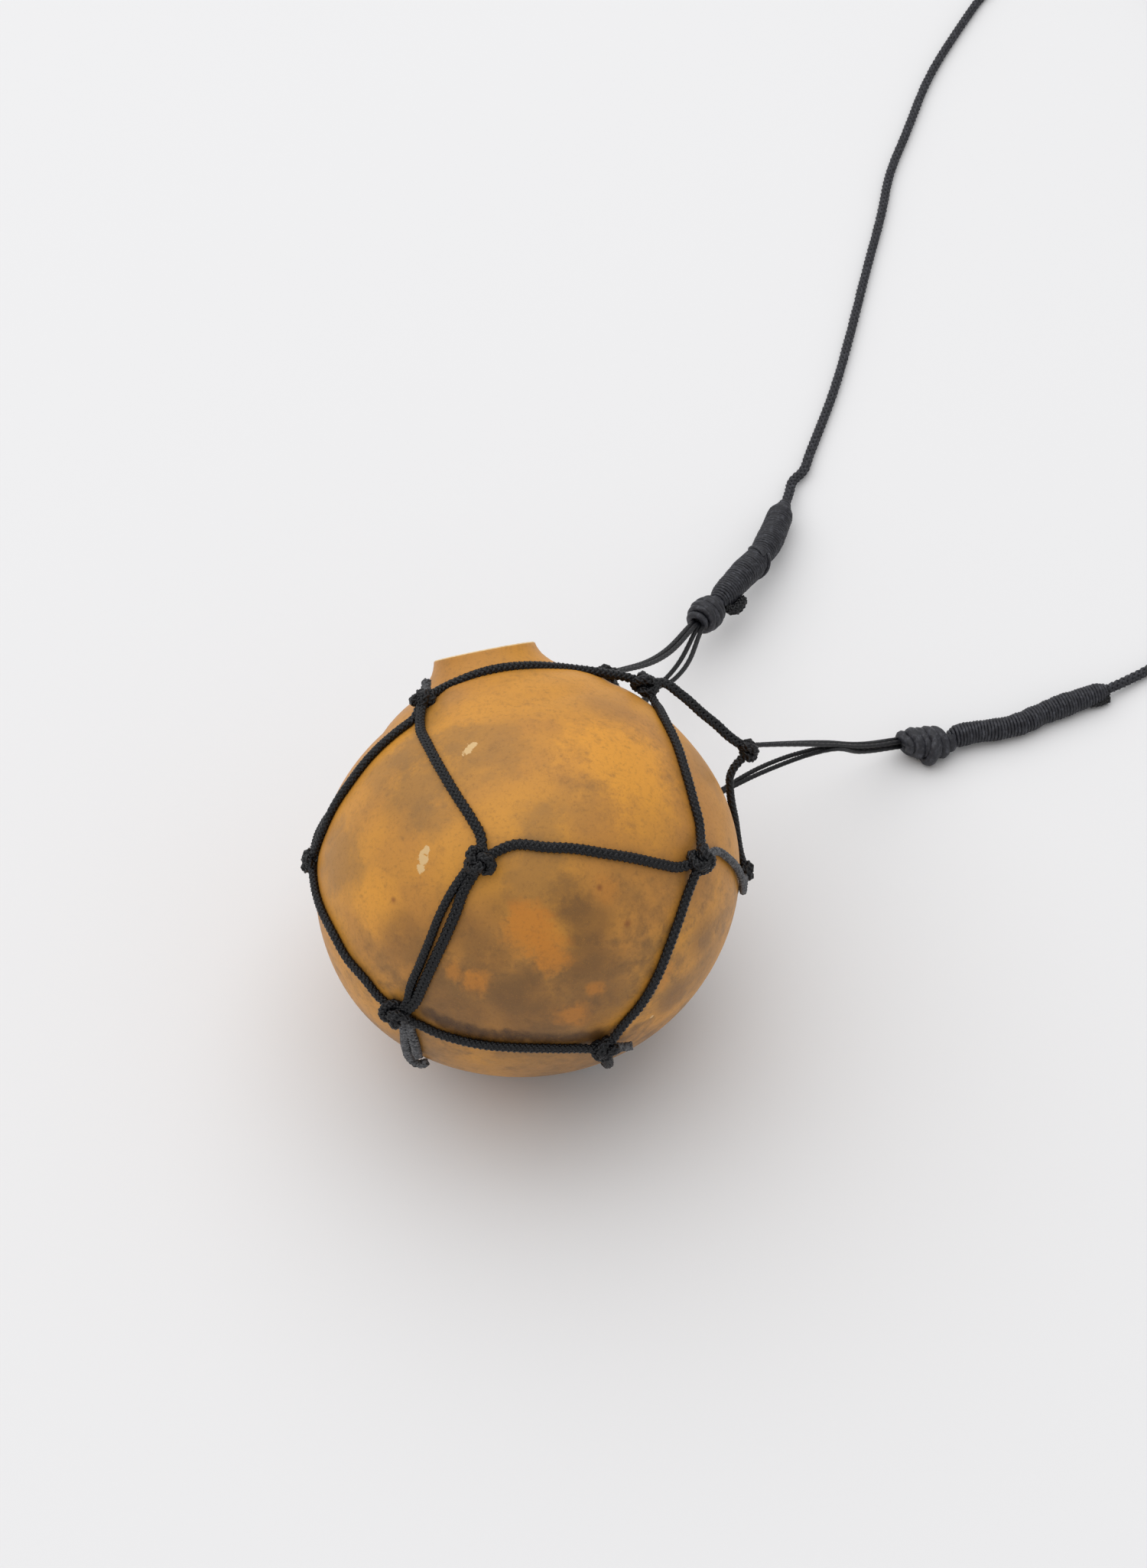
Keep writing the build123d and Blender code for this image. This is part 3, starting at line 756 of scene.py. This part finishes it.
TAIL_THICKNESS = 1.25
TAIL_THREAD = 0.22
TAILS = [
    [(63, -53, 2.2), (65.5, -52.7, 2.8), (67.9, -54.2, 3.8)],
    [(-30, -60.5, 1.0), (-34.4, -64.4, 0.85), (-38.4, -70.9, 0.95), (-42.4, -79.5, 1.20),
     (-46.0, -86.5, 1.75), (-48.4, -88.0, 1.75), (-49.8, -86.5, 1.0)],
    [(-31.5, -57.5, 1.0), (-34.7, -61.4, 0.8), (-38.8, -65.7, 0.86), (-43.0, -72.5, 1.0),
     (-45.3, -77.5, 1.1)],
    [(-56, 12, 1.2), (-57.8, 20, 1.1), (-58.4, 25, 1.2), (-57.6, 28.5, 1.5)],
]
tails = []
for stops in TAILS:
    line = laid_line([on_gourd(*stop) for stop in stops])
    tails += braid(line, off_gourd, CORD_WIDTH, TAIL_THICKNESS, TAIL_THREAD)
tails = finished("net_cut_tails", thread_bundle(tails), grey_cord.material)
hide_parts("cut_tails")

# ---- strands to the joining knots ----------------------------------------------------------
# Thin waxed strands, two by two, from the net's knots beside the mouth and behind the gourd
# to the knots that start the neck cord. The lower four run together for half their way.

STRAND_WIDTH = 0.75
STRAND_THICKNESS = STRAND_WIDTH * 0.85
STRAND_THREAD = 0.16
STRAND_PITCH = 2.2
STRAND_SPACING = 0.2
# each whipping's middle line, from its joining knot to the neck cord
WHIPPINGS = {
    "upper": [(31.4, 78.6, 7.5), (35.4, 85.2, 6.5), (39.4, 92.2, 5.0), (44.0, 106.3, 2.6)],
    "lower": [
        (69.3, 52.4, 2.5), (73.3, 53.7, 2.4), (77.8, 54.7, 2.15), (81.5, 56.0, 2.0), (85.3, 58.2, 1.95),
        (96.6, 63.6, 1.9),
    ],
}
# where the strands run into each joining knot; it ends where its whipping starts
JOINING_FEET = {"upper": (27.5, 72.15, 8.5), "lower": (60.8, 50.9, 2.9)}
JOINING_WIDTHS = {"upper": 6.0, "lower": 5.8}
BITE = 0.9  # how far each strand runs into its joining knot
joined = {}
for name, stops in WHIPPINGS.items():
    foot = Vector(JOINING_FEET[name])
    reach = Vector(stops[0]) - foot
    joined[name] = (foot, reach.length, reach.normalized(), reach.cross(UP).normalized())


def table_side(point):
    """The flat side of a cord that hangs free or lies on the table."""
    return UP


def strand_pair(knot, lines):
    """Two strands from a net knot, each braided along its line."""
    pair = []
    for line in lines:
        even = evenly(curve_line(line), STRAND_SPACING)
        pair += braid(even, table_side, STRAND_WIDTH, STRAND_THICKNESS, STRAND_THREAD, STRAND_PITCH)
    pair = finished(f"strand_pair_{knot}", thread_bundle(pair), wax.material)
    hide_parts(f"strands_{knot}")


# (net knot, place in the row at the joining knot, gap between the two, bow of their middles,
# stops before the middle)
UPPER_STRANDS = [
    ("neck_back", -0.45, 0.45, (1.1, 0, -2.3), []),
    ("back_upper", 0.65, 0.9, (0.5, 0, 0.2), [(19.6, 45.9, 21.9)]),
]
SIDE_BY_SIDE = 0.38  # from a pair's middle to each of its strands, at the joining knot
UPPER_START = 0.7  # how far a pair has parted at the net, as a share of its gap
foot, _, along, across = joined["upper"]
for knot, place, gap, bow, stops in UPPER_STRANDS:
    start = on_gourd(*KNOTS[knot][:3])
    spread = (foot - start).cross(UP).normalized()
    lines = []
    for side in (-1, 1):
        parted = spread * (side * gap / 2)
        end = foot + across * (place + SIDE_BY_SIDE * side) + along * BITE
        middle = (start + end) / 2 + Vector(bow) + parted
        behind = [Vector(stop) + parted * UPPER_START for stop in stops]
        lines.append([start + parted * UPPER_START, *behind, middle, end])
    strand_pair(knot, lines)

# (net knot, shift of their start, place over the bundle's middle, from one strand's middle to
# the other's, bow of their middles)
LOWER_STRANDS = [
    ("side_right", (0, 0.9, 0.1), 0.5, (0, -0.5, 0.6), (0.1, -0.3, 0.5)),
    ("back_right", (0, 0.1, 0), -0.5, (0, -0.75, 0), (0, 0.35, 1.1)),
]
BUNDLE_SHARE = 0.51  # of the way from the joining knot to the net's side knot
BUNDLE_SAG = 0.6
LANE = 0.42  # from the bundle's middle to each strand, sideways
LOWER_START = 0.2  # how far a pair has parted at the net, as a share of its gap
BUNDLE_SHIFT = Vector((0, 0.1, 0))
foot = joined["lower"][0] + BUNDLE_SHIFT
reach = on_gourd(*KNOTS["side_right"][:3]) - foot
spread = reach.cross(UP).normalized()
lift = spread.cross(reach).normalized()
for knot, shift, place, apart, bow in LOWER_STRANDS:
    start = on_gourd(*KNOTS[knot][:3]) + Vector(shift)
    lines = []
    for side in (-1, 1):
        parted = Vector(apart) * (side / 2)
        lane = spread * (-LANE * side) + lift * place
        merge = foot + reach * BUNDLE_SHARE + lane
        sagging = foot + reach * (BUNDLE_SHARE / 2) + lane - lift * BUNDLE_SAG
        middle = (start + merge) / 2 + Vector(bow) + parted
        end = foot - reach.normalized() * BITE + lane
        lines.append([start + parted * LOWER_START, middle, merge, sagging, end])
    strand_pair(knot, lines)

# ---- joining knots -------------------------------------------------------------------------
# Large knots that gather the four strands of each side. The upper one is a ball of five tight
# turns, and the lower one is a lumpy lay of slanting turns. A bight of the same cord lies over
# the turns of each, and droops from the lower one.

twine = Finish("whipping_twine", Specular_IOR_Level=0.4)
fluff = twine.noise(1300, 4, 0.7)
twine.feed(
    Base_Color=twine.mix((0.0140, 0.0145, 0.0195), (0.068, 0.070, 0.084), fluff.step(0.44, 0.76)),
    Roughness=fluff * 0.2 + 0.42,
    Normal=twine.bump(fluff, 0.06 * MM),
)
# name: (turns, radius of the cord in them, slant, share of the length that they take, shift of
# the middle, how uneven the turns are)
TURNS = {
    "upper": (5.0, 0.66, 0.12, 0.93, (0, 0, 0), 0.10),
    "lower": (5.2, 1.0, 0.9, 1.06, (0, -0.7, 0.1), 0.60),
}
# name: (first turn, last turn, first and last share of the length, reach over the turns)
BIGHTS = {"upper": (-0.05, 0.5, 0.15, 0.5, 0.25), "lower": (-0.24, 0.2, 0.4, 0.72, 0.9)}
BELLY = 0.86  # the turns lie on this much of a round belly
LUMPS_ROUND = 0.8  # how quickly the lumps change round a turn
LUMPS_ALONG = 3  # and along the knot
TURN_STEPS = 40
BIGHT_STEPS = 60
WINDING_SPACING = 0.15
BIGHT_WIDTH = 0.95  # of the cord's in the turns
CORE_WIDTH = 0.62  # of the room inside the turns
CORE_STOPS = (0.12, 0.4, 0.7, 1.0)  # shares of the knot's length
CORE_SHIFT = 0.8  # of the turns' shift


def joining_knot(name, width):
    """A joining knot: its turns, a bight over them, and a core that fills them."""
    foot, length, along, across = joined[name]
    up = across.cross(along)
    turns, radius, slant, taken, shift, uneven = TURNS[name]
    shift = Vector(shift)
    reach = width / 2 - radius
    stagger = length * taken - 2 * radius

    def wound(turn, share, over, lean):
        """A point of a cord wound on the knot's barrel, and as far over it as said."""
        belly = sqrt(max(1 - (2 * BELLY * share - BELLY) ** 2, 0))
        out = across * cos(turn) + up * sin(turn)
        rise = radius + stagger * share + lean * cos(turn)
        lump = uneven * noise.noise(Vector((LUMPS_ROUND * turn, LUMPS_ALONG * share, 0)))
        point = foot + shift * belly + along * rise + out * (reach * belly + over + lump)
        point.z = max(point.z, radius)  # pressed flat where it lies on the table
        return point

    steps = range(int(turns * TURN_STEPS) + 1)
    line = [wound(2 * pi * step / TURN_STEPS, step / steps[-1], 0, slant) for step in steps]
    start, stop, low, high, over = BIGHTS[name]
    bight = []
    for step in range(BIGHT_STEPS + 1):
        part = step / BIGHT_STEPS
        turn = 2 * pi * (start + (stop - start) * part)
        bight.append(wound(turn, low + (high - low) * part, over * sin(pi * part), 0))
    core = [foot + shift * CORE_SHIFT + along * (length * share) for share in CORE_STOPS]
    bundle = [
        (radius, evenly(line, WINDING_SPACING)),
        (radius * BIGHT_WIDTH, evenly(bight, WINDING_SPACING)),
        (reach * CORE_WIDTH, core),
    ]
    return thread_bundle(bundle, roundness=3)


for name, width in JOINING_WIDTHS.items():
    knot = finished(f"joining_{name}", joining_knot(name, width), twine.material)
    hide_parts(f"joining_knot_{name}")

# ---- whippings -----------------------------------------------------------------------------
# The neck cord's ends are laid along the strands and bound with fine waxed twine, turn against
# turn. The upper lay swells in two lobes, with two threads crossing at its waist, and the
# lower one is slim and uneven.

TWINE = 0.30  # radius
TWINE_PITCH = 0.56
TWINE_STEPS = 14  # in a turn
# share of the whipping's length: its radius there, over the turns
GIRTHS = {
    "upper": [(0, 1.75), (0.08, 2.35), (0.36, 2.55), (0.5, 2.2), (0.64, 2.5), (0.88, 2.3), (1, 1.2)],
    "lower": [(0, 1.3), (0.06, 2.05), (0.3, 1.9), (0.5, 1.98), (0.75, 2.05), (0.93, 1.8), (1, 1.15)],
}
UNEVEN = {"upper": 0.10, "lower": 0.16}  # of the turns, here and there
UNEVEN_SIZE = 1.4
CROSSINGS = {"upper": [(0.36, 0.47, -0.5), (0.42, 0.52, 0.3)], "lower": []}  # from, to, first turn
CROSSING_TURN = 0.8  # half turns that each crossing thread takes
CROSSING_LIFT = 1.2  # of the twine's radius, over the turns
CROSSING_STRIDE = 4  # points of the spine from one point of a crossing thread to the next
BOUND_RADIUS = 1.0  # of the cord's end and the strands' ends inside
BOUND_STRIDE = 20


def girth_at(stops, share):
    """The radius there, smooth from stop to stop."""
    for (low, first), (high, last) in zip(stops, stops[1:]):
        if share <= high:
            part = (share - low) / (high - low)
            part = part * part * (3 - 2 * part)
            return first + (last - first) * part
    return stops[-1][1]


def whipping(name, spine):
    """The twine wound on a whipping's middle line, with the threads that cross over it."""
    headings, lengths = runs_of(spine)

    def lay(number, turn, over):
        """A point of the twine beside one of the spine's points."""
        across = headings[number].cross(UP).normalized()
        up = across.cross(headings[number])
        share = lengths[number] / lengths[-1]
        reach = girth_at(GIRTHS[name], share) - TWINE + over
        reach += UNEVEN[name] * noise.noise(spine[number] / UNEVEN_SIZE)
        point = spine[number] + (across * cos(turn) + up * sin(turn)) * reach
        point.z = max(point.z, TWINE)  # pressed flat where it lies on the table
        return point

    turns = [lay(number, 2 * pi * lengths[number] / TWINE_PITCH, 0) for number in range(len(spine))]
    bundle = [(TWINE, turns)]
    for first, last, turned in CROSSINGS[name]:
        run = range(int(first * len(spine)), int(last * len(spine)), CROSSING_STRIDE)
        bundle.append((TWINE, [
            lay(number, pi * (turned + CROSSING_TURN * step / len(run)), TWINE * CROSSING_LIFT)
            for step, number in enumerate(run)
        ]))
    return thread_bundle(bundle)


for name, stops in WHIPPINGS.items():
    middle_line = curve_line([Vector(stop) for stop in stops], resolution=40)
    spine = evenly(middle_line, TWINE_PITCH / TWINE_STEPS)
    winding = finished(f"twine_{name}", whipping(name, spine), twine.material)
    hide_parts(f"whipping_{name}")
    bound = thread_bundle([(BOUND_RADIUS, spine[::BOUND_STRIDE])], roundness=2)
    inside = finished(f"bound_ends_{name}", bound, wax.material)
    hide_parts(f"whipping_core_{name}")

# ---- the wrapping cords' cut ends ----------------------------------------------------------
# One end hooks out beside the foot of the upper whipping, and one lies under the lower one's
# tip.

WRAP_THREAD = 0.26
WRAP_FLATTENING = 0.2
WRAP_SPACING = 0.2
# (width, stops)
WRAP_ENDS = [
    (2.0, [(32.7, 78.4, 6.6), (34.1, 78.0, 6.2), (35.2, 79.3, 6.0), (35.6, 80.8, 6.0)]),
    (1.7, [(93.5, 61.2, 1.3), (95.4, 61.7, 1.1), (96.9, 62.6, 1.0)]),
]
ends = []
for width, stops in WRAP_ENDS:
    line = evenly(curve_line([Vector(stop) for stop in stops]), WRAP_SPACING)
    ends += braid(line, table_side, width, width - WRAP_FLATTENING, WRAP_THREAD)
ends = finished("cut_wrapping_ends", thread_bundle(ends), wax.material)
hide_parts("wrapping_ends")

# ---- the neck cord -------------------------------------------------------------------------
# A round braided cord, 1.6 mm across and about 0.4 m long, from one whipping to the other. It
# lies on the table in one open loop.

NECK_CORD = 0.0016
NECK_THREAD = 0.28
NECK_PITCH = 4.6
neck_route = [
    (0.0440, 0.1063, 0.0026), (0.0450, 0.1098, 0.0020), (0.0454, 0.1131, 0.0015),
    (0.0479, 0.1160, 0.0012), (0.0487, 0.1196, 0.0010), (0.0506, 0.1255, 0.00085),
    (0.0544, 0.1375, 0.00085), (0.0582, 0.1535, 0.00085), (0.0618, 0.1700, 0.00085),
    (0.0654, 0.1850, 0.00085), (0.0673, 0.1965, 0.00085), (0.0716, 0.2090, 0.00085),
    (0.0764, 0.2250, 0.00085), (0.0840, 0.2410, 0.00085), (0.0905, 0.2535, 0.00085),
    (0.0995, 0.2630, 0.00085), (0.1120, 0.2650, 0.00085), (0.1230, 0.2575, 0.00085),
    (0.1290, 0.2430, 0.00085), (0.1315, 0.2240, 0.00085), (0.1320, 0.2030, 0.00085),
    (0.1310, 0.1810, 0.00085), (0.1308, 0.1590, 0.00085), (0.1300, 0.1370, 0.00085),
    (0.1280, 0.1170, 0.00085), (0.1235, 0.0985, 0.00085), (0.1168, 0.0825, 0.00085),
    (0.1080, 0.0716, 0.00085), (0.1018, 0.0670, 0.0012), (0.0966, 0.0636, 0.0019),
]
neck_line = curve_line([Vector(stop) for stop in neck_route], "NURBS", resolution=40)
neck_width = NECK_CORD / MM
neck_middle = [point / MM for point in neck_line]
neck_threads = braid(neck_middle, table_side, neck_width, neck_width, NECK_THREAD, NECK_PITCH)
for radius, thread in neck_threads:
    for point in thread:
        point.z = max(point.z, radius)  # pressed flat where it lies on the table
neck_cord = finished("neck_loop_cord", thread_bundle(neck_threads), twine.material)
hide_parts("neck_cord")

# ---- the table, the light and the camera ---------------------------------------------------
# A pale table top under one very large soft lamp, high up and a little to the left, in a room
# that adds an even white light. The camera looks down from the front.

TABLE_HALF = 3.0
table = bmesh.new()
bmesh.ops.create_grid(table, x_segments=1, y_segments=1, size=TABLE_HALF)
table_mesh = bpy.data.meshes.new("table_top")
table.to_mesh(table_mesh)
table.free()
pale = Finish("pale_table", Base_Color=(0.80, 0.80, 0.81, 1), Roughness=0.75, Specular_IOR_Level=0.2)
table_mesh.materials.append(pale.material)
table = bpy.data.objects.new("table_top", table_mesh)
bpy.context.scene.collection.objects.link(table)

ROOM_LIGHT = 0.62
world = bpy.data.worlds.new("soft_room")
bpy.context.scene.world = world
world.use_nodes = True
backdrop = world.node_tree.nodes["Background"]
backdrop.inputs["Color"].default_value = (1, 1, 1, 1)
backdrop.inputs["Strength"].default_value = ROOM_LIGHT

LAMP_PLACE = Vector((-0.55, 0.6, 2.1))
LAMP_GOAL = Vector((0.02, 0.0, 0.02))
LAMP_SIZE = 4.5
LAMP_POWER = 48.5
lamp = bpy.data.lights.new("big_soft_lamp", "AREA")
lamp.shape = "DISK"
lamp.size = LAMP_SIZE
lamp.energy = LAMP_POWER
lamp_holder = bpy.data.objects.new("big_soft_lamp", lamp)
lamp_holder.location = LAMP_PLACE
lamp_holder.rotation_euler = (LAMP_GOAL - LAMP_PLACE).to_track_quat("-Z", "Y").to_euler()
bpy.context.scene.collection.objects.link(lamp_holder)

CAMERA_PLACE = (0.0069, -0.3491, 0.4691)
CAMERA_PITCH = 40.0  # up from straight down
camera = bpy.data.cameras.new("camera")
camera.lens = 85
camera.sensor_width = 36
camera.clip_start = 0.01
view = bpy.data.objects.new("camera", camera)
view.location = CAMERA_PLACE
view.rotation_euler = (radians(CAMERA_PITCH), 0, 0)
bpy.context.scene.collection.objects.link(view)
bpy.context.scene.camera = view
bpy.context.scene.view_settings.view_transform = "Standard"
